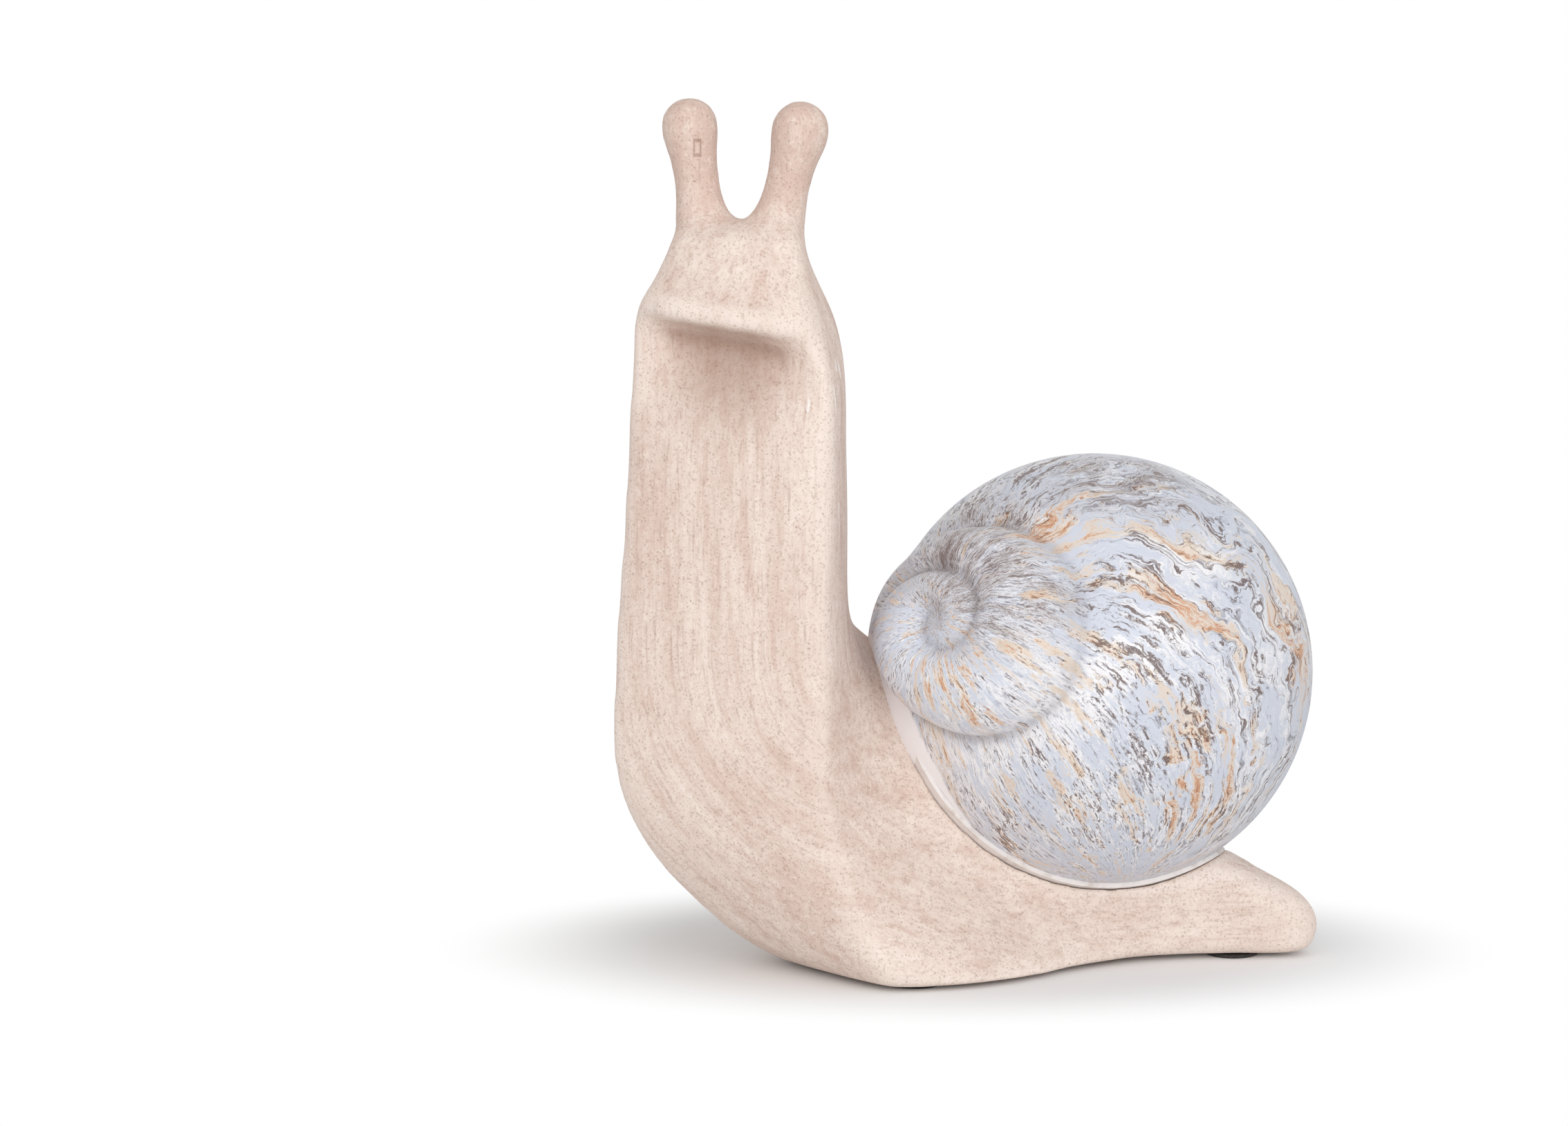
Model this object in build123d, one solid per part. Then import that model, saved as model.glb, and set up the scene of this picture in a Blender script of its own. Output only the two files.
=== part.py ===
"""Snail figurine: a hollow cast body, a coiled shell bedded on its back, two eye stalks and felt pads.

Millimetres. X runs along the foot towards the tail, Z is up, and the raised neck turns towards -Y.
While the pieces are made, Y = 0 is the middle line of the shell. At the end all pieces are moved
together, so that the origin lies at the middle of the finished part's box, on the floor.
"""
from build123d import *
import math
import os

# Felt pads under the foot
PAD_RADIUS = 6.0
PAD_THICKNESS = 0.8
PAD_PLACES = {
    "front_near": (-13.0, -39.0),
    "front_far": (-30.0, -6.0),
    "middle": (24.0, 5.0),
    "tail": (62.0, -7.5),
}

# Foot and tail
TAIL_END = (82.5, -7.5)        # tip of the tail
TAIL_RADIUS = 8.0              # rounding of the tail seen from above
TAIL_HEIGHT = 12.0             # the ridge rises from here to the back of the neck
TAIL_HANDLE = 60.0             # how far the flanks run along the tail before they bend
SOLE_EDGE = 1.5                # rounding of the sole's lower edge: inset
SOLE_EDGE_HEIGHT = 6.0         # and height
FOOT_FRONT = (-31.5, -34.5)    # middle of the foot's front edge
FOOT_WIDTH = 46.0              # length of that front edge
FOOT_TURN = 37.0               # the front edge's backward direction, in degrees from +X
NEAR_SPLAY = 1.0               # direction in which the near flank leaves the front edge
NEAR_HANDLE = 46.0             # and how far it holds that direction
FAR_SPLAY = 58.0               # the same for the far flank
FAR_HANDLE = 78.0

# Neck
CHEST_RISE = 53.0              # height over which the sole curves up into the neck
NECK_FRONT = (-58.0, -38.0)    # middle of the neck's front face above the chest
NECK_LEAN = 2.9                # how far the neck leans towards the tail up to the shoulder
NECK_WIDTH = 51.1              # width of the front face above the chest
NECK_TAPER = 3.6               # how much narrower it is at the shoulder
NECK_DEPTH = 37.0
NECK_TURN = 72.0               # the neck's backward direction, in degrees from +X
NECK_CROWN = 2.0               # bulge of the front face
NECK_HANDLE = 18.0             # how far the neck's flanks run straight back
NECK_BACK_WIDTH = 26.0         # width of the neck's rounded back at the shoulder
NECK_BACK_SPREAD = 8.0         # how much wider it is above the chest
NECK_BACK_CROWN = 5.0          # and its bulge
FLARE_TOP = 96.0               # height at which the neck's back starts to sweep down to the tail
FLARE_POWER = 2.6              # how fast the flanks follow it
FLARE_SOFTNESS = 0.20          # how gently the sweep starts
SWEEP_BOW = 13.0               # how far the sweep bows away from the near side, round the shell
NECK_STEP = 7.0                # distance between the slices that shape foot and neck

# Head
FORK_HEIGHT = 171.0            # flat top that carries the eye stalks
HEAD_LENGTH = 51.0             # from there down to the straight part of the neck
HEAD_STEP = 3.2                # distance between the slices that shape the head
LEFT_SHOULDER = 27.0           # how far below the fork the head starts to narrow on the left
RIGHT_SHOULDER = 37.0          # and on the right
FORK_FRONT = (-53.9, -29.8)    # middle of the fork's front edge
FORK_WIDTH = 31.2
FORK_DEPTH = 18.0
FORK_CROWN = 4.0               # rounding of its front
FORK_BACK_WIDTH = 16.0         # its rounded back
FORK_BACK_CROWN = 2.5
FORK_HANDLE = 5.0
LIP_DROP = 19.0                # from the fork down to the lip
LIP_OUT = 3.5                  # how far the lip stands out
MOUTH_DROP = 26.0              # from the fork down to the mouth
MOUTH_DEPTH = 6.0              # how far the mouth is drawn in below the lip
MOUTH_END = 48.0               # from the fork down to where the mouth has faded out
HEAD_ROLL = 8.0                # tilt of the lip, left side up, in degrees

# Shell: a globe with a spire whorl that winds in to the apex
SHELL_CENTRE = (29.7, 0.0, 65.8)
SHELL_RADIUS = 50.8
SPIRE_AXIS = (-0.66, -0.68, 0.31)
SPIRE_OFFSET = 15.0            # distance of the whorl's middle from the axis where it starts
SPIRE_RADIUS = 13.0            # radius of the whorl where it starts
SPIRE_RISE = 3.5               # height of the whorl above the globe where it starts
SPIRE_START = 130.0            # direction of the start about the axis, in degrees
SPIRE_LEAD_IN = 0.3            # turns before the start, where the whorl comes out of the globe
SPIRE_WOUND = 0.7              # turns of the whorl before it closes to the apex
SPIRE_TURNS = 1.5              # turns to the middle of the apex
APEX_LUMPS = 5                 # rounded lumps that close the whorl
APEX_START = 0.026             # turns from the whorl's end to the first lump
APEX_STEP = 0.13               # turns from one lump to the next
APEX_RADIUS = 8.0              # radius of the whorl at the apex
APEX_RISE = 8.5                # height of the apex above the globe

# Casting and setting
BODY_WALL = 6.0
FLOOR_THICKNESS = 10.0         # solid foot under the hollow
SHELL_WALL = 4.5
SEAM_THICKNESS = 1.0           # luting layer between shell and body
HOLLOW_SWEEP = 0.3             # how far the hollow follows the sweep from the neck to the tail
POUR_HOLE_RADIUS = 7.0
POUR_HOLE_PLACE = (-27.0, -19.0)
VENT_RADIUS = 4.0              # vent between the shell's hollow and the body's
VENT_END = (-38.0, -18.0, 45.0)

# Eye stalks
STALK_ROOT_RADIUS = 7.8
STALK_RADIUS = 5.0
STALK_FLARE = 12.0             # height over which the root narrows to the shaft
BULB_RADIUS = 6.1
BULB_SWELL = 9.0               # height over which the shaft widens to the bulb
LEFT_ROOT = (-61.3, -19.6)     # middle of the stalk's foot on the fork
LEFT_BULB = (-64.3, -18.5, 22.8)    # middle of its bulb, the height above the fork
RIGHT_ROOT = (-44.3, -25.0)
RIGHT_BULB = (-39.1, -26.0, 22.2)
PEG_RADIUS = 2.5
PEG_LENGTH = 7.0
PEG_CLEARANCE = 0.15

STANDING = (Align.CENTER, Align.CENTER, Align.MIN)    # a cylinder that stands on its place


def smooth(start, end, value):
    """Eased share of the way from start to end: 0 before, 1 after."""
    share = min(max((value - start) / (end - start), 0), 1)
    return share * share * (3 - 2 * share)


def mix(first, second, share):
    """A number or a point between two others."""
    return first + (second - first) * share


def steps(start, stop, count):
    """Even steps from start up to, but without, stop."""
    return [mix(start, stop, number / count) for number in range(count)]


def even_slices(start, stop, step):
    """Heights from start to stop, about a step apart."""
    return steps(start, stop, round((stop - start) / step)) + [stop]


def heading(degrees):
    """Level direction at an angle from +X."""
    return Vector(math.cos(math.radians(degrees)), math.sin(math.radians(degrees)))


def body_section(height, inset, sweep):
    """Slice of the body: near flank, rounded back, far flank and front face."""
    lift = max(0, 1 - height / CHEST_RISE) ** 2
    flare = max(0, 1 - height / FLARE_TOP) ** FLARE_POWER
    drop = min(1, max(0, (FLARE_TOP - height) / (FLARE_TOP - TAIL_HEIGHT)))
    reach = sweep * drop ** 2 * (1 + FLARE_SOFTNESS) / (drop + FLARE_SOFTNESS)
    below_fork = FORK_HEIGHT - height
    top = smooth(LEFT_SHOULDER, 0, below_fork)
    right_top = smooth(RIGHT_SHOULDER, 0, below_fork)
    recede = max(0, 1 - below_fork / LIP_DROP)
    climb = smooth(CHEST_RISE, FORK_HEIGHT - LEFT_SHOULDER, height)
    edge = inset + SOLE_EDGE * (1 - smooth(PAD_THICKNESS, PAD_THICKNESS + SOLE_EDGE_HEIGHT, height))

    # Front face, from the left ridge to the right one
    turn = mix(NECK_TURN, FOOT_TURN, lift)
    back = heading(turn)
    side = heading(turn - 90)
    neck_front = mix(Vector(NECK_FRONT) + Vector(NECK_LEAN * climb, 0), Vector(FORK_FRONT), recede)
    front = mix(neck_front, Vector(FOOT_FRONT), lift) + back * edge
    neck_width = NECK_WIDTH - NECK_TAPER * climb
    left_width = mix(mix(neck_width, FORK_WIDTH, top), FOOT_WIDTH, lift) / 2 - edge
    right_width = mix(mix(neck_width, FORK_WIDTH, right_top), FOOT_WIDTH, lift) / 2 - edge
    under_lip = smooth(LIP_DROP, MOUTH_DROP, below_fork)
    lip = LIP_OUT * smooth(0, LIP_DROP, below_fork) * (1 - under_lip)
    mouth = MOUTH_DEPTH * under_lip * (1 - smooth(MOUTH_DROP, MOUTH_END, below_fork))
    crown = mix(NECK_CROWN + lip - mouth, FORK_CROWN, recede)
    left = front - side * left_width
    right = front + side * right_width

    # Rounded back, which is the tail's end in the lowest slices
    neck_back = neck_front + heading(NECK_TURN) * mix(NECK_DEPTH, FORK_DEPTH, recede)
    aft_angle = NECK_TURN * (1 - reach) ** 3
    aft = heading(aft_angle)
    across = heading(aft_angle + 90)
    bow = sweep * SWEEP_BOW * 27 / 4 * reach * (1 - reach) ** 2    # SWEEP_BOW at a third of the way
    end = mix(neck_back, Vector(TAIL_END), reach) + across * bow - aft * edge
    back_width = mix(NECK_BACK_WIDTH + NECK_BACK_SPREAD * (1 - climb), FORK_BACK_WIDTH, top)
    end_width = mix(back_width, 2 * TAIL_RADIUS, reach) - 2 * inset - edge
    end_crown = mix(mix(NECK_BACK_CROWN, FORK_BACK_CROWN, top), TAIL_RADIUS, reach) - edge / 2
    end_near = end - aft * end_crown - across * end_width / 2
    end_far = end - aft * end_crown + across * end_width / 2

    # Flanks, which leave the front ridges at their own angles and run smoothly into the back
    bend = 2 * math.atan2(end_crown, end_width / 2)
    near_way = across * math.cos(bend) + aft * math.sin(bend)
    far_way = across * -math.cos(bend) + aft * math.sin(bend)
    neck_handle = mix(NECK_HANDLE, FORK_HANDLE, top) - inset
    end_handle = mix(neck_handle / 2, TAIL_HANDLE, reach)
    near_angle = mix(NECK_TURN, NEAR_SPLAY, sweep * flare)
    far_angle = mix(NECK_TURN, FAR_SPLAY, flare)
    near_handle = right + heading(near_angle) * mix(neck_handle, NEAR_HANDLE, sweep * flare)
    far_handle = left + heading(far_angle) * mix(neck_handle, FAR_HANDLE, sweep * flare)

    # The head's slices tilt sideways with the lip
    roll = HEAD_ROLL * smooth(HEAD_LENGTH, MOUTH_DROP, below_fork) * (1 - top)
    slope = math.tan(math.radians(roll))

    def place(point):
        return Vector(point.X, point.Y, height - (point - front).dot(side) * slope)

    # Each side is one curve with two handles, and a handle 4/3 as high as a bulge gives that bulge
    end_bulge = 4 / 3 * end_crown / math.sin(bend)
    left_bulge = mix(left, right, 1 / 6) - back * crown * 4 / 3
    right_bulge = mix(left, right, 5 / 6) - back * crown * 4 / 3
    sides = [
        (right, near_handle, end_near - near_way * end_handle, end_near),
        (end_near, end_near + near_way * end_bulge, end_far + far_way * end_bulge, end_far),
        (end_far, end_far - far_way * end_handle, far_handle, left),
        (left, left_bulge, right_bulge, right),
    ]
    return Face(Wire([Bezier(*[place(point) for point in points]) for points in sides]))


def body_form(bottom, top, inset=0.0, sweep=1.0):
    """Solid through the body's slices from one height to another."""
    sole_top = bottom + SOLE_EDGE_HEIGHT
    head_start = FORK_HEIGHT - HEAD_LENGTH
    neck = steps(bottom, sole_top, 2) + even_slices(sole_top, head_start, NECK_STEP)
    head = even_slices(head_start, top, HEAD_STEP)
    lower, upper = [[body_section(height, inset, sweep) for height in heights] for heights in (neck, head)]
    return loft(lower) + loft(upper)


def whorl(turn):
    """Place and radius of the spire whorl, some turns after its start."""
    share = (max(turn, 0) / SPIRE_TURNS) ** 2
    offset = SPIRE_OFFSET * (1 - share)
    radius = mix(SPIRE_RADIUS, APEX_RADIUS, share)
    lead_in = min(turn, 0) / SPIRE_LEAD_IN * (SPIRE_RISE + SEAM_THICKNESS)
    level = math.sqrt(SHELL_RADIUS ** 2 - offset ** 2) + mix(SPIRE_RISE, APEX_RISE, share) + lead_in - radius
    return Rot(0, 0, SPIRE_START - 360 * turn) * Pos(offset, 0, level), radius


def whorl_section(turn, grow):
    """Round cross-section of the spire whorl."""
    place, radius = whorl(turn)
    return place * Rot(90, 0, 0) * Circle(radius + grow)


def shell_form(grow=0.0):
    """The shell's outside, or the same grown by a layer."""
    halfway = (SPIRE_WOUND - SPIRE_LEAD_IN) / 2
    form = Sphere(SHELL_RADIUS + grow)
    for start, stop in ((-SPIRE_LEAD_IN, halfway), (halfway, SPIRE_WOUND)):
        form += loft([whorl_section(turn, grow) for turn in steps(start, stop, 5) + [stop]])
    for lump in range(APEX_LUMPS):
        place, radius = whorl(SPIRE_WOUND + APEX_START + lump * APEX_STEP)
        form += place * Sphere(radius + grow)
    return shell_frame * form


def stalk_form(root, bulb):
    """Eye stalk with a flared root and a round bulb, cut flat where it sits on the head, and its peg."""
    stalk_frame, length = stalk_place(root, bulb)
    swell = length - BULB_SWELL
    profile = [
        Polyline((0, length + BULB_RADIUS), (0, -STALK_ROOT_RADIUS), (STALK_ROOT_RADIUS, -STALK_ROOT_RADIUS),
                 (STALK_ROOT_RADIUS, 0)),
        Bezier((STALK_ROOT_RADIUS, 0), (STALK_RADIUS, STALK_FLARE / 3), (STALK_RADIUS, STALK_FLARE)),
        Line((STALK_RADIUS, STALK_FLARE), (STALK_RADIUS, swell)),
        Bezier((STALK_RADIUS, swell), (STALK_RADIUS, swell + BULB_SWELL / 2),
               (BULB_RADIUS, swell + BULB_SWELL / 2), (BULB_RADIUS, length)),
        RadiusArc((BULB_RADIUS, length), (0, length + BULB_RADIUS), -BULB_RADIUS),
    ]
    stalk = stalk_frame * revolve(Plane.XZ * make_face(profile), Axis.Z)
    seated = split(stalk, bisect_by=Plane.XY.offset(FORK_HEIGHT), keep=Keep.TOP)
    return seated + stalk_frame * peg_form(PEG_RADIUS, PEG_LENGTH)


def stalk_place(root, bulb):
    """Frame along a stalk from its root on the head, and its length to the bulb's middle."""
    foot = Vector(root[0], root[1], FORK_HEIGHT)
    axis = Vector(bulb[0], bulb[1], FORK_HEIGHT + bulb[2]) - foot
    return Plane(origin=foot, x_dir=(1, 0, 0), z_dir=axis), axis.length


def peg_form(radius, depth):
    """Round peg from inside a stalk's root down into the head."""
    return Pos(0, 0, -depth) * Cylinder(radius, depth + STALK_FLARE, align=STANDING)


# Shell, cast hollow, with a vent through its seat
shell_frame = Plane(origin=SHELL_CENTRE, x_dir=(1, 0, 0), z_dir=SPIRE_AXIS)
shell_outside = shell_form()
shell_centre = Vector(SHELL_CENTRE)
vent_way = Vector(VENT_END) - shell_centre
vent_frame = Plane(origin=SHELL_CENTRE, z_dir=vent_way)
vent = vent_frame * Cylinder(VENT_RADIUS, vent_way.length, align=STANDING)
shell = shell_outside - Pos(shell_centre) * Sphere(SHELL_RADIUS - SHELL_WALL) - vent

# Body, cast hollow from the foot up into the head, with the shell's saddle, the pour hole and the
# stalks' sockets. The hollow is also lifted by one wall, so that the chest keeps its thickness where
# it slopes outwards.
body_outside = body_form(PAD_THICKNESS, FORK_HEIGHT)
saddle = shell_form(SEAM_THICKNESS)
hollow_floor = PAD_THICKNESS + FLOOR_THICKNESS
hollow_top = FORK_HEIGHT - PEG_LENGTH - 2 * BODY_WALL
hollow = body_form(hollow_floor - BODY_WALL, hollow_top - BODY_WALL, BODY_WALL, HOLLOW_SWEEP)
hollow = Pos(0, 0, BODY_WALL) * hollow
hollow -= Pos(shell_centre) * Sphere(SHELL_RADIUS + SEAM_THICKNESS + BODY_WALL)
pour_hole = Pos(*POUR_HOLE_PLACE) * Cylinder(POUR_HOLE_RADIUS, 2 * (hollow_floor + BODY_WALL))
body = body_outside - saddle - hollow - pour_hole - vent
stalks = {"left_eye_stalk": (LEFT_ROOT, LEFT_BULB), "right_eye_stalk": (RIGHT_ROOT, RIGHT_BULB)}
for root, bulb in stalks.values():
    body -= stalk_place(root, bulb)[0] * peg_form(PEG_RADIUS + PEG_CLEARANCE, PEG_LENGTH + PEG_CLEARANCE)

# Luting layer that fills the saddle under the shell
shell_seam = body_outside & (saddle - shell_outside) - vent

pieces = {"body": body, "shell": shell, "shell_seam": shell_seam}
for name, (root, bulb) in stalks.items():
    pieces[name] = stalk_form(root, bulb)
for name, place in PAD_PLACES.items():
    pieces[f"felt_pad_{name}"] = Pos(*place) * Cylinder(PAD_RADIUS, PAD_THICKNESS, align=STANDING)

# The origin goes to the middle of the whole part's box, on the floor
box = Compound(children=[piece.moved(Location()) for piece in pieces.values()]).bounding_box()
to_origin = Pos(-box.center().X, -box.center().Y, -box.min.Z)
os.makedirs("parts", exist_ok=True)
for name, piece in pieces.items():
    export_step(to_origin * piece, f"parts/{name}.step")
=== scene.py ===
import math
import bmesh
import bpy
from mathutils import Matrix, Vector, noise
from mathutils.bvhtree import BVHTree


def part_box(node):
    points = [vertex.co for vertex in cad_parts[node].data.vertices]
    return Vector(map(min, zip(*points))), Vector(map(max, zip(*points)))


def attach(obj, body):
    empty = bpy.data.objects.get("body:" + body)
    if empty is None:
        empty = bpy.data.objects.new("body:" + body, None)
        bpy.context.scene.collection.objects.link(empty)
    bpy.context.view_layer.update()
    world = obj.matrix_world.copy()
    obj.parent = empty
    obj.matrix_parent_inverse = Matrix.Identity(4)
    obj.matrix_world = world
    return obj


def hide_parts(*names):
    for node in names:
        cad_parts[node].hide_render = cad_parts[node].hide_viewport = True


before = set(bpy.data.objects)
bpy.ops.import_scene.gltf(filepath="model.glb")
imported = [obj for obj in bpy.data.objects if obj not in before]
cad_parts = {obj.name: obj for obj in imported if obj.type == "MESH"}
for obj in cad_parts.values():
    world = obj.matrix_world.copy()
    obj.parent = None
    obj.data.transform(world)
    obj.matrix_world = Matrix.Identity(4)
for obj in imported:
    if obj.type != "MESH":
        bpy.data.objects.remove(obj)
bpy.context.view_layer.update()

# Body casting
# One hollow casting of white clay: foot, tail, neck and head. Its edges are softened by sponging,
# the stalks' roots are smoothed into the head with slip, and the outside gets a brushed beige wash.
skin_size = 0.001
weld = 0.00001
fork_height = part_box("body")[1].z
shell_low, shell_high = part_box("shell")
shell_centre = (shell_low + shell_high) / 2
shell_radius = (shell_high.z - shell_low.z) / 2
all_over_rounds = 6
ridge_rounds = 36
ridge_top = fork_height - 0.008
rim_width = 0.007


def joined_solids(*names):
    """Mesh of some solids, with their loose triangles joined up."""
    clay = bmesh.new()
    for name in names:
        clay.from_mesh(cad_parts[name].data)
    bmesh.ops.remove_doubles(clay, verts=clay.verts, dist=weld)
    return clay


def new_piece(name, clay, finish):
    """Object from a finished bmesh, with its finish."""
    clay.normal_update()
    mesh = bpy.data.meshes.new(name)
    clay.to_mesh(mesh)
    clay.free()
    mesh.materials.append(finish)
    piece = bpy.data.objects.new(name, mesh)
    bpy.context.scene.collection.objects.link(piece)
    return piece


def even_skin(clay):
    """The same outside as one even skin of small squares, where touching solids have become one."""
    mesh = bpy.data.meshes.new("skin")
    clay.to_mesh(mesh)
    clay.free()
    rough = bpy.data.objects.new("skin", mesh)
    bpy.context.scene.collection.objects.link(rough)
    remesh = rough.modifiers.new("remesh", "REMESH")
    remesh.mode = "VOXEL"
    remesh.voxel_size = skin_size
    shown = rough.evaluated_get(bpy.context.evaluated_depsgraph_get())
    skin = bmesh.new()
    skin.from_mesh(shown.to_mesh())
    bpy.data.objects.remove(rough)
    return skin


def soften(skin, verts, rounds):
    """Sponges some points of a skin."""
    for _ in range(rounds):
        bmesh.ops.smooth_vert(skin, verts=verts, factor=0.5,
                              use_axis_x=True, use_axis_y=True, use_axis_z=True)


def ease(start, end, value):
    """Eased share of the way from start to end: 0 before, 1 after."""
    share = min(max((value - start) / (end - start), 0), 1)
    return share * share * (3 - 2 * share)


face_middle = Vector((-0.0552, -0.0374, 0))
face_ahead = Vector((-0.309, -0.951, 0))
face_side = Vector((0.951, -0.309, 0))
face_left = -0.026
face_right = 0.022
face_fade = 0.018
well_inside = 0.6
facing_ahead = 0.3
lip_height = 0.1513
lip_slope = -0.130
lip_wave = 0.0005
lip_wave_spacing = 0.0035
brow_swell = 0.0008
brow_height = 0.012
lip_thickness = 0.0024
lip_edge = 0.001
mouth_depth = 0.0022
mouth_height = 0.020


def above_lip(place):
    """Height above the lip, and how far in from the face's two sides, 0 to 1."""
    aside = (place - face_middle).dot(face_side)
    wave = lip_wave * noise.noise(Vector((aside / lip_wave_spacing, 0, 0)))
    inside = ease(face_left, face_left + face_fade, aside)
    inside *= ease(face_right, face_right - face_fade, aside)
    return place.z - lip_height - lip_slope * aside + wave, inside


def near_lip(place):
    """Whether a point of the face is close to the lip."""
    above, inside = above_lip(place)
    return inside > well_inside and -mouth_height < above < brow_height


def face_push(place):
    """How far the face is pushed out above the lip, or drawn in below it."""
    above, inside = above_lip(place)
    brow = brow_swell * ease(brow_height, lip_edge, above) * ease(-lip_thickness, 0, above)
    hollow = mouth_depth * ease(0, -lip_thickness, above) * ease(-mouth_height, -lip_thickness, above)
    return inside * (brow - hollow)


casting = even_skin(joined_solids("body", "left_eye_stalk", "right_eye_stalk"))
soften(casting, casting.verts[:], all_over_rounds)

# Ridges are sponged round, but the lip and the edge that meets the shell stay crisp
casting.normal_update()
ridges = [vert for vert in casting.verts
          if vert.co.z < ridge_top and (vert.co - shell_centre).length > shell_radius + rim_width
          and not (vert.normal.dot(face_ahead) > facing_ahead and near_lip(vert.co))]
soften(casting, ridges, ridge_rounds)

# Slip smoothed round the stalks' roots: most rounds at the fork, fewer above and below
root_blend = 0.016
root_rounds = 60
for step in range(root_rounds):
    reach = root_blend * (1 - step / root_rounds)
    soften(casting, [vert for vert in casting.verts if abs(vert.co.z - fork_height) < reach], 1)

# Flank drawn back round the shell, so that the shell's bare margin shows in the crevice beside the neck
crevice_way = Vector((-0.75, -0.45, -0.48)).normalized()
crevice_axis = crevice_way.cross(Vector((-1, 0, 0))).normalized()
crevice_turn = math.radians(5)
crevice_wide = math.cos(math.radians(55))
crevice_core = math.cos(math.radians(18))
crevice_reach = 0.024
for vert in casting.verts:
    arm = vert.co - shell_centre
    share = ease(crevice_wide, crevice_core, arm.normalized().dot(crevice_way))
    share *= ease(crevice_reach, rim_width / 2, abs(arm.length - shell_radius))
    if share > 0:
        vert.co = shell_centre + Matrix.Rotation(crevice_turn * share, 3, crevice_axis) @ arm

# Crisp, uneven lip: the brow swells a little down to it, and the mouth is scooped out below
casting.normal_update()
pushes = [ease(0.1, 0.5, vert.normal.dot(face_ahead)) * face_push(vert.co) for vert in casting.verts]
for vert, push in zip(casting.verts, pushes):
    vert.co += face_ahead * push

# Hand-made unevenness, and a small swell above the foot
swell = 0.0004
swell_start = 0.03
wobble_size = 0.0003
wobble_spacing = 0.028
casting.normal_update()
for vert in casting.verts:
    uneven = wobble_size * noise.noise(vert.co / wobble_spacing)
    vert.co += vert.normal * (uneven + swell * ease(swell_start, 2 * swell_start, vert.co.z))

relief_rounds = 60
relief_scale = 0.0010


def mark_relief(skin):
    """Stores how each point lies: above 0 in a hollow, below 0 on a ridge."""
    relief = skin.verts.layers.float.new("relief")
    worn = skin.copy()
    soften(worn, worn.verts[:], relief_rounds)
    skin.normal_update()
    for vert, flat in zip(skin.verts, worn.verts):
        vert[relief] = (flat.co - vert.co).dot(vert.normal) / relief_scale
    worn.free()


# The wash gathers in hollows and is rubbed off ridges, and the hollows are also darkened with painted shade
mark_relief(casting)


class Tint:
    """A value or colour in a finish. Python's operators on values add Math nodes."""

    def __init__(self, tree, socket=None):
        self.tree = tree
        self.socket = socket

    def node(self, kind, settings=(), output=0, **sockets):
        """Any node: its settings first, then the values or links of its sockets."""
        made = self.tree.nodes.new("ShaderNode" + kind)
        for name, value in dict(settings).items():
            setattr(made, name, value)
        for name, value in sockets.items():
            key = int(name[1:]) if name[1:].isdigit() else name
            if isinstance(value, Tint):
                self.tree.links.new(value.socket, made.inputs[key])
            else:
                made.inputs[key].default_value = value
        return Tint(self.tree, made.outputs[output])

    def math(self, operation, *values):
        numbered = {f"_{number}": value for number, value in enumerate(values)}
        return self.node("Math", {"operation": operation}, **numbered)

    def __add__(self, other):
        return self.math("ADD", self, other)

    def __radd__(self, other):
        return self.math("ADD", other, self)

    def __sub__(self, other):
        return self.math("SUBTRACT", self, other)

    def __rsub__(self, other):
        return self.math("SUBTRACT", other, self)

    def __mul__(self, other):
        return self.math("MULTIPLY", self, other)

    def __rmul__(self, other):
        return self.math("MULTIPLY", other, self)

    def __truediv__(self, other):
        return self.math("DIVIDE", self, other)

    def __rtruediv__(self, other):
        return self.math("DIVIDE", other, self)

    def between(self, low, high):
        """0 below low, 1 above high, eased between. Low may be the higher one."""
        settings = {"interpolation_type": "SMOOTHSTEP"}
        if low > high:
            return 1 - self.between(high, low)
        return self.node("MapRange", settings, _0=self, _1=low, _2=high)

    def over(self, below, share):
        """This colour laid over another one."""
        return self.node("Mix", {"data_type": "RGBA"}, 2, _0=share, _6=below, _7=self)


def colour(red, green, blue):
    """A colour given as it shows on a screen, 11 to 255, as the light that it stands for."""
    return tuple(((level / 255 + 0.055) / 1.055) ** 2.4 for level in (red, green, blue))


def new_finish(name):
    """Empty material: the material, a Tint to add nodes with, and its shader."""
    finish = bpy.data.materials.new(name)
    finish.use_nodes = True
    return finish, Tint(finish.node_tree), finish.node_tree.nodes["Principled BSDF"]


def feed(shader, name, value):
    """Links a value to one of the shader's sockets."""
    value.tree.links.new(value.socket, shader.inputs[name])


def mottle(tint, vector, scale, detail=3.0, roughness=0.55, distortion=0.0):
    """Soft random field round 0.5."""
    return tint.node("TexNoise", (), 0, Vector=vector, Scale=scale, Detail=detail, Roughness=roughness,
                     Distortion=distortion)


def flat_colour(tint, shade):
    """A plain colour as a link."""
    made = tint.node("RGB")
    made.socket.default_value = (*shade, 1)
    return made


# Brushed wash
# A thin beige and blush wash is brushed on down the neck and along the foot, so its streaks bend with the
# body. Pigment gathers in hollows and pores, painted shade darkens the hollows and the mouth further, and
# the white clay shows where ridges are rubbed.
bend_x = -0.020
bend_z = 0.078
streak_shortening = 0.09
wash, tint, shader = new_finish("brushed_wash")
place = tint.node("TexCoord", (), 3)
axes = tint.node("SeparateXYZ", (), 0, Vector=place)
x, y, z = (Tint(tint.tree, axes.socket.node.outputs[number]) for number in range(3))
left_of_bend = tint.math("MAXIMUM", bend_x - x, 0.0)
below_bend = tint.math("MAXIMUM", bend_z - z, 0.0)
across = tint.math("SQRT", left_of_bend * left_of_bend + below_bend * below_bend)
along = tint.math("MAXIMUM", z - bend_z, 0.0) - tint.math("MAXIMUM", x - bend_x, 0.0)
lanes = tint.node("CombineXYZ", (), 0, X=across, Y=y, Z=along * streak_shortening)
relief_value = tint.node("Attribute", {"attribute_name": "relief"}, 2)

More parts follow.
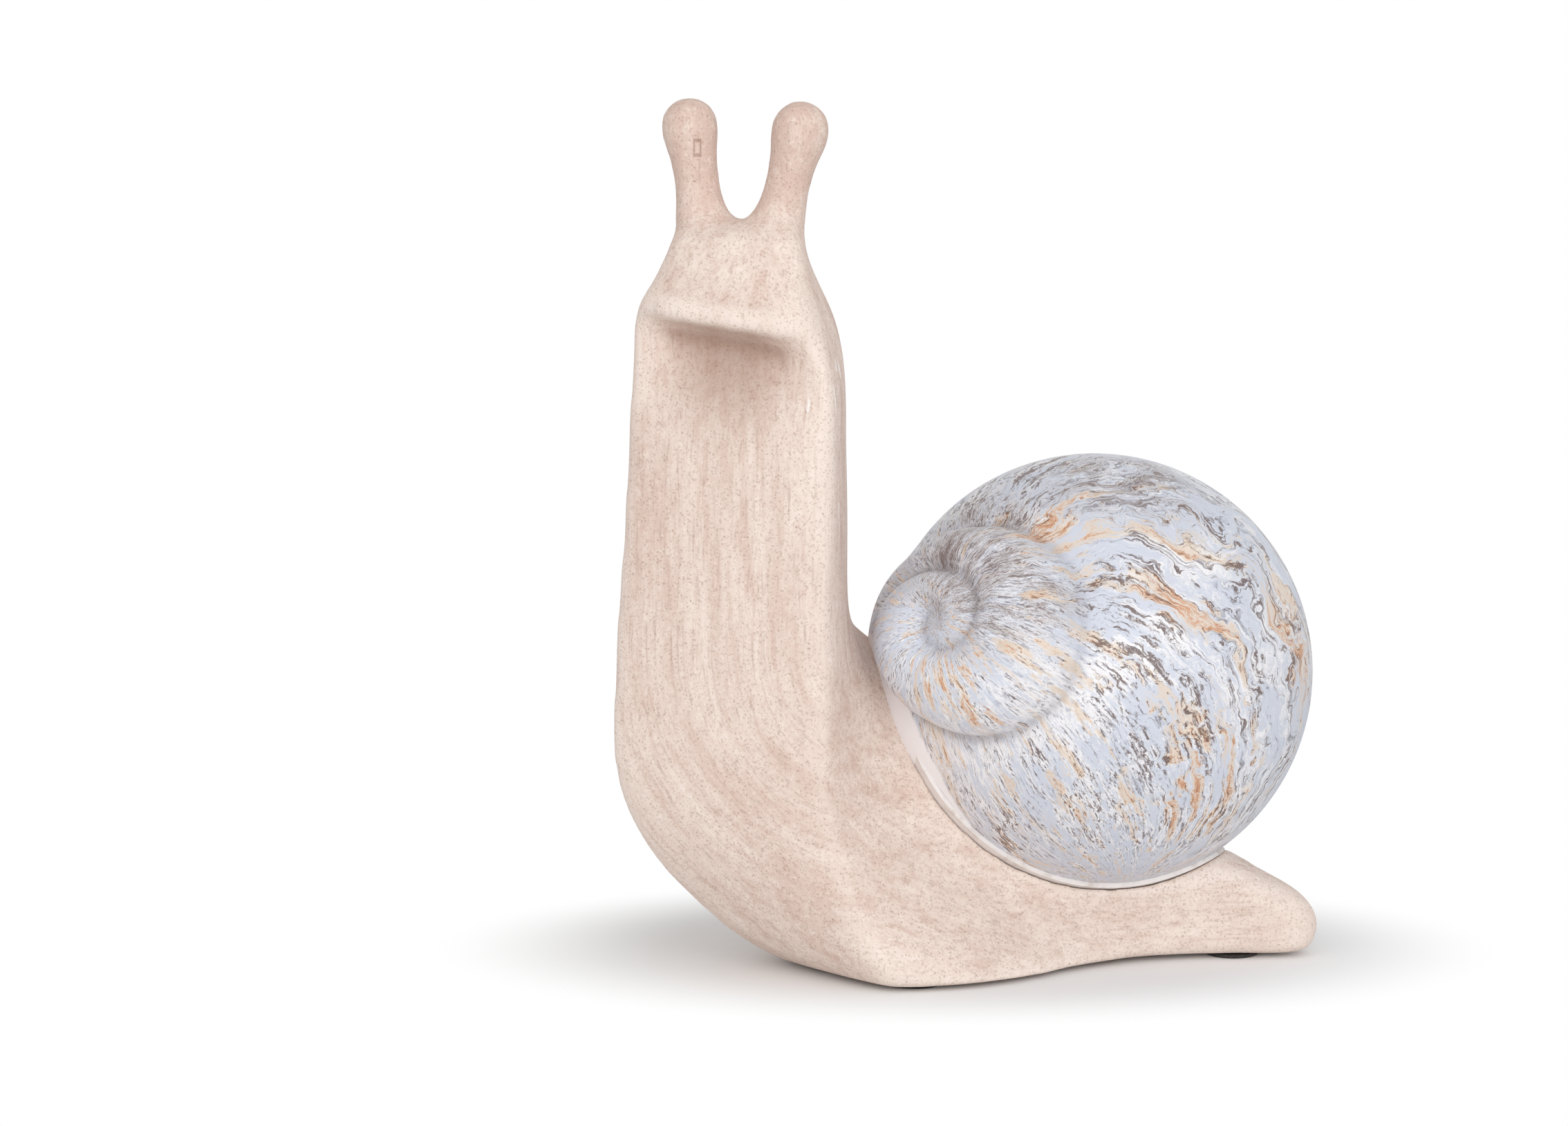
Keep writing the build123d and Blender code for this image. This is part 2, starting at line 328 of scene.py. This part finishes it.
broad = mottle(tint, lanes, 130, 3, 0.6)
streaks = mottle(tint, lanes, 360, 4, 0.65)
fine = mottle(tint, lanes, 1100, 4, 0.65)
clouds = mottle(tint, place, 40, 3, 0.5)
dabs = mottle(tint, place, 600, 3, 0.65)
grain = mottle(tint, place, 1800, 3, 0.7)
pores = tint.node("TexVoronoi", {"feature": "F1"}, 0, Vector=place, Scale=1150, Randomness=1.0)
pore_choice = mottle(tint, place, 500, 2, 0.6)

beige = flat_colour(tint, colour(232, 214, 203))
blush = flat_colour(tint, colour(214, 187, 174))
pale = flat_colour(tint, colour(243, 229, 219))
umber_and_shade = flat_colour(tint, colour(158, 124, 106))
clay_white = flat_colour(tint, colour(248, 244, 241))

# The foot is painted paler as painted light, where more light falls on it, and the stalks are redder, under
# strokes that each cover part of the last
painted_foot_light = z.between(0.060, 0.025) * x.between(-0.03, 0.02)
on_stalks = z.between(0.168, 0.186)
base = pale.over(beige, painted_foot_light * 0.6)
base = blush.over(base, on_stalks * 0.7)
wash_strokes = [(blush, clouds, 0.48, 0.70, 0.4), (pale, broad, 0.48, 0.74, 0.6),
                (blush, broad, 0.50, 0.30, 0.6), (blush, streaks, 0.50, 0.68, 0.65),
                (pale, streaks, 0.48, 0.28, 0.55), (blush, dabs, 0.50, 0.66, 0.35),
                (pale, dabs, 0.46, 0.32, 0.4), (umber_and_shade, fine, 0.50, 0.74, 0.36)]
for pigment, field, start, full, strength in wash_strokes:
    base = pigment.over(base, field.between(start, full) * strength)
stalk_dabs = z.between(0.165, 0.182) * mottle(tint, place, 260, 4, 0.7).between(0.44, 0.60)
base = blush.over(base, stalk_dabs * 0.75)
# Umber in the hollows: wash gathered there, together with painted shade where the hollows lie in shade
base = umber_and_shade.over(base, relief_value.between(0.10, 1.6) * 0.7)
rubbed = relief_value.between(-0.2, -1.0) * z.between(0.176, 0.160)
base = pale.over(base, rubbed * 0.6)
speckle = pores.between(0.40, 0.12) * pore_choice.between(0.42, 0.56)
freckle = grain.between(0.53, 0.68)
base = umber_and_shade.over(base, freckle * 0.40)
base = umber_and_shade.over(base, speckle * 0.34)

# Chips on the front ridge of the neck
neck_ridge = x.between(-0.040, -0.036) * y.between(-0.028, -0.036)
neck_ridge = neck_ridge * z.between(0.105, 0.110) * z.between(0.144, 0.140)
chip_places = mottle(tint, lanes, 420, 1, 0.5).between(0.62, 0.64)
base = clay_white.over(base, neck_ridge * relief_value.between(-0.08, -0.2) * chip_places)

# Darker in the mouth's hollow below the lip: painted shade under the lip's overhang, with pigment the brush
# left there
beside_mouth = (x - face_middle.x) * face_side.x + (y - face_middle.y) * face_side.y
before_mouth = (x - face_middle.x) * face_ahead.x + (y - face_middle.y) * face_ahead.y
below_lip = lip_height + lip_slope * beside_mouth - z
mouth_pigment_and_shade = below_lip.between(-0.0004, 0.0030) * below_lip.between(0.032, 0.012)
mouth_pigment_and_shade = mouth_pigment_and_shade * beside_mouth.between(-0.022, -0.004) * beside_mouth.between(0.017, 0.002)
mouth_pigment_and_shade = mouth_pigment_and_shade * before_mouth.between(-0.016, -0.010)
base = umber_and_shade.over(base, mouth_pigment_and_shade * 0.52)

# Small mould mark scratched in the left stalk
mark_middle = Vector((-0.0625, 0, 0.1891))
mark_half_width = 0.0008
mark_half_height = 0.0018
mark_aside = tint.math("ABSOLUTE", x - mark_middle.x) / mark_half_width
mark_up = tint.math("ABSOLUTE", z - mark_middle.z) / mark_half_height
mark_reach = tint.math("MAXIMUM", mark_aside, mark_up)
mark = mark_reach.between(0.6, 0.85) * mark_reach.between(1.25, 1.0) * y.between(-0.0200, -0.0215)
base = umber_and_shade.over(base, mark * 0.6)
feed(shader, "Base Color", base)
feed(shader, "Roughness", 0.60 + 0.2 * fine)
shader.inputs["Specular IOR Level"].default_value = 0.3
surface = fine * 0.5 + grain * 0.5 - speckle * 0.8 - mark * 2.0
feed(shader, "Normal", tint.node("Bump", (), 0, Strength=0.35, Distance=0.0003, Height=surface))


def cut_off(skin, height, above):
    """Part of a skin above or below a height, closed by a flat face there."""
    part = skin.copy()
    geometry = part.verts[:] + part.edges[:] + part.faces[:]
    bmesh.ops.bisect_plane(part, geom=geometry, dist=weld, plane_co=(0, 0, height), plane_no=(0, 0, 1),
                           clear_inner=above, clear_outer=not above)
    rim = [edge for edge in part.edges if edge.is_boundary]
    for face in part.faces:
        face.smooth = True
    for edge in rim:
        edge.smooth = False
    bmesh.ops.holes_fill(part, edges=rim, sides=0)
    return part


cut_above_fork = 0.0035
stalk_cut = fork_height + cut_above_fork
body = new_piece("snail_body", cut_off(casting, stalk_cut, False), wash)
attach(body, "root")
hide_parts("body")

# Eye stalks
# Two rolled clay stalks with round ends, pegged into the head and luted there, so that no joint shows.
# They carry the same brushed wash as the body.
stalk_middle = (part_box("left_eye_stalk")[1].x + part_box("right_eye_stalk")[0].x) / 2
for side, keep_left in (("left_eye_stalk", True), ("right_eye_stalk", False)):
    stalk = cut_off(casting, stalk_cut, True)
    other = [vert for vert in stalk.verts if (vert.co.x < stalk_middle) != keep_left]
    bmesh.ops.delete(stalk, geom=other, context="VERTS")
    piece = new_piece(side + "_skin", stalk, wash)
    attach(piece, "root")
    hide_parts(side)
body_sides = BVHTree.FromBMesh(casting)
casting.free()

# Shell
# A second hollow casting: a globe whose last whorls wind in to a low spire. A printed film with a grey,
# white and rust stone pattern is floated on before the shell is set on the body, and dries to a satin sheen.
spire_axis = Vector((-0.66, -0.68, 0.31)).normalized()
spire_x = (Vector((1, 0, 0)) - spire_axis * spire_axis.x).normalized()
spire_y = spire_axis.cross(spire_x)
suture_azimuth = 119
first_turn = -0.35
# The suture's angle from the spire's axis, in degrees, at turns from where it leaves the neck's side
suture_places = [(first_turn, 46), (-0.2, 41), (0, 33), (0.1, 29.5), (0.2, 30.5), (0.3, 34), (0.43, 35),
                 (0.55, 30), (0.7, 24.4), (0.9, 20.7), (1.0, 16.8), (1.1, 12.6), (1.3, 9.3), (1.55, 7.2),
                 (1.9, 4), (2.3, 0), (3.4, 0)]
# Its height above the globe, and how far the whorl inside it bulges, in metres
suture_levels = [(first_turn, 0), (-0.15, -0.0012), (0, -0.0030), (0.12, -0.0020), (0.3, -0.0008),
                 (0.5, -0.0014), (0.65, -0.0020), (0.8, 0.0004), (1.0, 0.0022), (1.3, 0.0038), (1.7, 0.0056),
                 (3.4, 0.0070)]
whorl_bulges = [(first_turn, 0.001), (0, 0.0048), (0.3, 0.0056), (0.6, 0.0092), (0.9, 0.0066), (1.2, 0.0030),
                (1.8, 0.0008), (3.4, 0)]
coil_rounds = 3
whorl_roundness = 0.62
shoulder = 6.0
# Where the last whorl swells out towards the neck
swell_way = Vector((-0.97, -0.15, 0.02)).normalized()
swell_height = 0.0030
swell_spread = math.cos(math.radians(38))


def along_coil(places, turn):
    """Value at a turn, in between the turns and values of a list."""
    for (start, first), (stop, last) in zip(places, places[1:]):
        if turn <= stop:
            share = max(0, (turn - start) / (stop - start))
            return first + (last - first) * share
    return places[-1][1]


def coil_height(polar, azimuth):
    """Height of the shell's surface above the globe, at an angle from the spire's axis and one about it."""
    turn = first_turn + ((suture_azimuth - azimuth) / 360 - first_turn) % 1.0
    fade = ease(first_turn, 0, turn)
    inner = along_coil(suture_places, turn + 1)
    beyond = along_coil(suture_levels, turn + 1) * math.exp(-abs(polar - inner) / shoulder) * (1 - fade)
    outer = along_coil(suture_places, turn)
    if polar >= outer:
        return fade * along_coil(suture_levels, turn) * math.exp(-(polar - outer) / shoulder) + beyond
    first = True
    while polar < along_coil(suture_places, turn + 1):
        turn += 1
        first = False
    outer = along_coil(suture_places, turn)
    inner = along_coil(suture_places, turn + 1)
    share = (polar - inner) / max(outer - inner, 0.001)
    level = along_coil(suture_levels, turn + 1) * (1 - share) + along_coil(suture_levels, turn) * share
    height = level + along_coil(whorl_bulges, turn) * (1 - (2 * share - 1) ** 2) ** whorl_roundness
    return fade * height + beyond if first else height


globe = bmesh.new()
bmesh.ops.create_uvsphere(globe, u_segments=288, v_segments=216, radius=shell_radius)
for vert in globe.verts:
    way = vert.co.normalized()
    polar = math.degrees(math.acos(max(-1, min(1, way.z))))
    azimuth = math.degrees(math.atan2(way.y, way.x))
    out = spire_x * way.x + spire_y * way.y + spire_axis * way.z
    beside_neck = swell_height * ease(swell_spread, 1, out.dot(swell_way))
    vert.co = way * (shell_radius + coil_height(polar, azimuth) + beside_neck)
soften(globe, globe.verts[:], coil_rounds)
mark_relief(globe)
globe_turn = Matrix((spire_x, spire_y, spire_axis)).transposed().to_4x4()
bmesh.ops.transform(globe, matrix=Matrix.Translation(shell_centre) @ globe_turn, verts=globe.verts)
for face in globe.faces:
    face.smooth = True
to_body = globe.verts.layers.float.new("to_body")
for vert in globe.verts:
    vert[to_body] = body_sides.find_nearest(vert.co)[3]

film, tint, shader = new_finish("stone_film")
film_place = tint.node("TexCoord", (), 3)


def vector_math(operation, *values, output=0):
    """A vector operation in the finish that is being made."""
    numbered = {f"_{number}": value for number, value in enumerate(values)}
    return tint.node("VectorMath", {"operation": operation}, output, **numbered)


def part_along(vector, way):
    """How far a vector reaches along a direction."""
    return vector_math("DOT_PRODUCT", vector, way, output=1)


# The floating film is drawn out from the apex over the globe and gathers below, so its strokes follow the
# circles through these two places. Seen from the gathering place, an inversion turns the circles into
# straight rays.
gather = Vector((0.10, -0.38, -0.92)).normalized()
gather_side = gather.orthogonal().normalized()
gather_up = gather.cross(gather_side)
source = (spire_axis - gather) / (spire_axis - gather).length_squared
outward = vector_math("NORMALIZE", vector_math("SUBTRACT", film_place, shell_centre))
from_gather = vector_math("SUBTRACT", outward, gather)
nearness = 1 / part_along(from_gather, from_gather)
spread = tint.node("VectorMath", {"operation": "SCALE"}, 0, _0=from_gather, Scale=nearness)
from_source = vector_math("SUBTRACT", spread, source)
ray_side = part_along(from_source, gather_side)
ray_up = part_along(from_source, gather_up)
ray_length = tint.math("SQRT", ray_side * ray_side + ray_up * ray_up) + 0.01
travel = tint.math("LOGARITHM", ray_length, math.e)
warp = mottle(tint, outward, 2.6, 3, 0.55) - 0.5
ripple = mottle(tint, outward, 14, 3, 0.6) - 0.5
ray_turn = warp * 0.35 + ripple * 0.06


def drawn_out(stretch):
    """Place in the film, with the way along the strokes shortened, so that a pattern is drawn out."""
    return tint.node("CombineXYZ", (), 0, X=ray_side / ray_length + ray_turn,
                     Y=ray_up / ray_length - ray_turn, Z=(travel + warp * 0.6) * (1 / stretch))


strokes = mottle(tint, drawn_out(5), 9, 10, 0.75)
fibres = mottle(tint, drawn_out(8), 44, 6, 0.72)
flecks = mottle(tint, drawn_out(3), 85, 5, 0.75)
veins = mottle(tint, drawn_out(6), 7, 9, 0.72)
patches = mottle(tint, outward, 3.2, 4, 0.6)


def spots(places):
    """Soft round fields on the shell, each with its direction from the shell's middle and its size."""
    total = 0.0
    for way, size in places:
        gap = vector_math("DISTANCE", outward, Vector(way).normalized(), output=1)
        total = total + gap.between(size, size * 0.1)
    return total


rust_field = spots([((-0.50, -0.86, 0.06), 0.34), ((-0.22, -0.58, 0.78), 0.40), ((0.42, -0.80, -0.40), 0.5),
                    ((0.86, -0.46, 0.20), 0.5), ((0.36, -0.80, 0.45), 0.34)])
bark_field = spots([((0.0, -0.89, 0.45), 0.34), ((0.30, -0.40, 0.87), 0.55), ((0.62, -0.58, 0.53), 0.4),
                    ((0.20, -0.97, -0.08), 0.4), ((-0.28, -0.28, 0.92), 0.4), ((-0.66, -0.68, 0.31), 0.16)])
chalk_field = spots([((0.40, -0.66, 0.63), 0.26), ((-0.22, -0.97, 0.03), 0.40),
                     ((-0.62, -0.70, -0.20), 0.40)])
ash_field = spots([((-0.40, -0.80, 0.44), 0.42), ((-0.60, -0.45, 0.66), 0.45), ((0.1, -0.35, 0.93), 0.5)])

sky = flat_colour(tint, colour(206, 211, 223))
chalk = flat_colour(tint, colour(240, 238, 240))
slate = flat_colour(tint, colour(150, 153, 167))
ash = flat_colour(tint, colour(168, 160, 162))
bark = flat_colour(tint, colour(104, 82, 74))
rust = flat_colour(tint, colour(204, 147, 108))
sand = flat_colour(tint, colour(227, 206, 182))

ground = strokes * 0.75 + flecks * 0.25 + patches * 0.25 - 0.125 + chalk_field * 0.06 - bark_field * 0.02
film_colour = chalk.over(sky, ground.between(0.46, 0.57))
slate_share = strokes * 0.4 + fibres * 0.6 + bark_field * 0.01
film_colour = slate.over(film_colour, slate_share.between(0.50, 0.57) * 0.65)
film_colour = ash.over(film_colour, ash_field.between(0, 1.3) * strokes.between(0.38, 0.54) * 0.8)
film_colour = chalk.over(film_colour, ash_field.between(0, 0.8) * fibres.between(0.51, 0.56) * 0.75)
film_colour = bark.over(film_colour, ash_field.between(0, 0.8) * fibres.between(0.48, 0.42) * 0.75)
sand_share = veins + rust_field * 0.05 - ash_field * 0.02
film_colour = sand.over(film_colour, sand_share.between(0.535, 0.60) * 0.7)
rust_share = veins * 0.5 + fibres * 0.25 + flecks * 0.25
rust_share = rust_share + rust_field * 0.045 + patches * 0.10 - chalk_field * 0.02
film_colour = rust.over(film_colour, rust_share.between(0.612, 0.645) * 0.85)
bark_share = strokes * 0.28 + fibres * 0.47 + flecks * 0.25
bark_share = bark_share + patches * 0.20 + bark_field * 0.022 - chalk_field * 0.03
film_colour = bark.over(film_colour, bark_share.between(0.625, 0.675) * 0.85)
# Painted shade: the film is darkened in the sutures' grooves and under the spire's edge, where shade falls
film_relief = tint.node("Attribute", {"attribute_name": "relief"}, 2)
shade = flat_colour(tint, colour(112, 104, 108))
film_colour = shade.over(film_colour, film_relief.between(0.1, 1.6) * 0.36)

# Bare white clay along the body, where the film stops short
to_body_value = tint.node("Attribute", {"attribute_name": "to_body"}, 2)
crevice = spots([((-0.82, -0.52, -0.25), 0.75)])
bare_fade = 0.0012
bare_width = 0.0008 + 0.0066 * crevice + 0.0020 * ripple
bare = ((bare_width - to_body_value) / bare_fade).between(0, 1)
film_colour = flat_colour(tint, colour(250, 248, 250)).over(film_colour, bare)
feed(shader, "Base Color", film_colour)
feed(shader, "Roughness", 0.36 + 0.12 * strokes)
shader.inputs["Specular IOR Level"].default_value = 0.4
feed(shader, "Normal", tint.node("Bump", (), 0, Strength=0.12, Distance=0.0002, Height=fibres))

shell = new_piece("coiled_shell", globe, film)
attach(shell, "root")
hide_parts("shell")

# Luting seam
# White slip that beds the shell in its saddle. It squeezes out as a thin line round the shell's foot and
# stays bare, because wash and film both stop short of it.
slip, tint, shader = new_finish("white_slip")
slip_place = tint.node("TexCoord", (), 3)
lumps = mottle(tint, slip_place, 260, 4, 0.6)
grey_slip = flat_colour(tint, colour(214, 206, 200))
pale_slip = flat_colour(tint, colour(236, 231, 228))
feed(shader, "Base Color", grey_slip.over(pale_slip, lumps.between(0.45, 0.75)))
feed(shader, "Roughness", 0.6 + 0.2 * lumps)
feed(shader, "Normal", tint.node("Bump", (), 0, Strength=0.5, Distance=0.0004, Height=lumps))
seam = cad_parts["shell_seam"]
seam.data.materials.clear()
seam.data.materials.append(slip)

# Felt pads
# Punched discs of dark felt with a sticky back, under the foot.
# They keep the unglazed clay off the shelf.
felt, tint, shader = new_finish("dark_felt")
felt_place = tint.node("TexCoord", (), 3)
felt_fibres = mottle(tint, felt_place, 1500, 5, 0.8, 1.5)
felt_light = flat_colour(tint, colour(84, 78, 74))
felt_dark = flat_colour(tint, colour(46, 43, 42))
feed(shader, "Base Color", felt_light.over(felt_dark, felt_fibres.between(0.4, 0.7)))
feed(shader, "Roughness", 0.85 + 0.1 * felt_fibres)
feed(shader, "Normal", tint.node("Bump", (), 0, Strength=0.8, Distance=0.0004, Height=felt_fibres))
pad_edge = 0.0003
for node in sorted(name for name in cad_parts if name.startswith("felt_pad")):
    low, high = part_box(node)
    disc = bmesh.new()
    radius = (high.x - low.x) / 2
    bmesh.ops.create_cone(disc, cap_ends=True, segments=64, radius1=radius, radius2=radius,
                          depth=high.z - low.z)
    rims = [edge for edge in disc.edges if abs(edge.verts[0].co.z - edge.verts[1].co.z) < weld]
    bmesh.ops.bevel(disc, geom=rims, offset=pad_edge, affect="EDGES", segments=3, profile=0.5, material=-1)
    bmesh.ops.translate(disc, verts=disc.verts, vec=(low + high) / 2)
    for face in disc.faces:
        face.smooth = len(face.verts) == 4
    pad = new_piece(node + "_disc", disc, felt)
    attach(pad, "root")
    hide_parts(node)

# Studio
# A white floor under four soft boxes, seen from the photograph's place. The floor keeps the figurine's
# shadow near the foot and turns pure white beyond it.
floor_half = 30
shadow_half_length = 0.085
shadow_half_width = 0.055
shadow_kept = 0.8
shadow_gone = 1.5
floor_mesh = bmesh.new()
bmesh.ops.create_grid(floor_mesh, x_segments=1, y_segments=1, size=floor_half)
floor_finish, tint, shader = new_finish("white_floor")
shader.inputs["Base Color"].default_value = (0.9, 0.9, 0.9, 1)
shader.inputs["Roughness"].default_value = 0.9
shader.inputs["Specular IOR Level"].default_value = 0.0
floor_place = tint.node("TexCoord", (), 3)
foot_reach = vector_math("MULTIPLY", floor_place, (1 / shadow_half_length, 1 / shadow_half_width, 0))
floor_distance = vector_math("LENGTH", foot_reach, output=1)
floor_seen = tint.node("LightPath")
white = tint.node("Emission", (), 0, Color=(1, 1, 1, 1), Strength=1.0)
whitened = tint.node("MixShader", (), 0, _0=floor_distance.between(shadow_kept, shadow_gone) * floor_seen,
                     _1=Tint(tint.tree, shader.outputs[0]), _2=white)
tint.tree.links.new(whitened.socket, tint.tree.nodes["Material Output"].inputs["Surface"])
floor = new_piece("floor", floor_mesh, floor_finish)

world = bpy.data.worlds.new("studio")
bpy.context.scene.world = world
world.use_nodes = True
world_tree = world.node_tree
background = world_tree.nodes["Background"]
background.inputs["Color"].default_value = (1, 1, 1, 1)
seen = Tint(world_tree)
rays = seen.node("LightPath")
camera_ray, glossy_ray, passing_ray = (
    Tint(world_tree, rays.socket.node.outputs[name])
    for name in ("Is Camera Ray", "Is Glossy Ray", "Is Transmission Ray"))
shown = seen.math("MAXIMUM", seen.math("MAXIMUM", camera_ray, glossy_ray), passing_ray)
ambient = 0.58
world_tree.links.new((ambient + (1 - ambient) * shown).socket, background.inputs["Strength"])

# Place, size in metres and power in watts of each soft box
lamp_target = Vector((0, 0, 0.08))
soft_boxes = [("top_box", (0.15, -0.35, 1.5), 1.3, 2), ("side_box", (0.6, -1.6, 0.8), 1.2, 9.5),
              ("front_box", (0.1, -1.9, 0.35), 1.2, 7), ("left_box", (-1.3, -1.0, 0.7), 1.2, 3)]
for name, lamp_place, size, power in soft_boxes:
    lamp = bpy.data.lights.new(name, "AREA")
    lamp.size = size
    lamp.energy = power
    holder = bpy.data.objects.new(name, lamp)
    holder.location = lamp_place
    holder.rotation_euler = (lamp_target - Vector(lamp_place)).to_track_quat("-Z", "Y").to_euler()
    bpy.context.scene.collection.objects.link(holder)

camera_down = 8
camera_data = bpy.data.cameras.new("camera")
camera_data.sensor_width = 36
camera_data.lens = 112.7
camera = bpy.data.objects.new("camera", camera_data)
camera.location = (-0.04297, -1.1329, 0.2505)
camera.rotation_euler = (math.radians(90 - camera_down), 0, 0)
bpy.context.scene.collection.objects.link(camera)
bpy.context.scene.camera = camera
bpy.context.scene.view_settings.view_transform = "Standard"
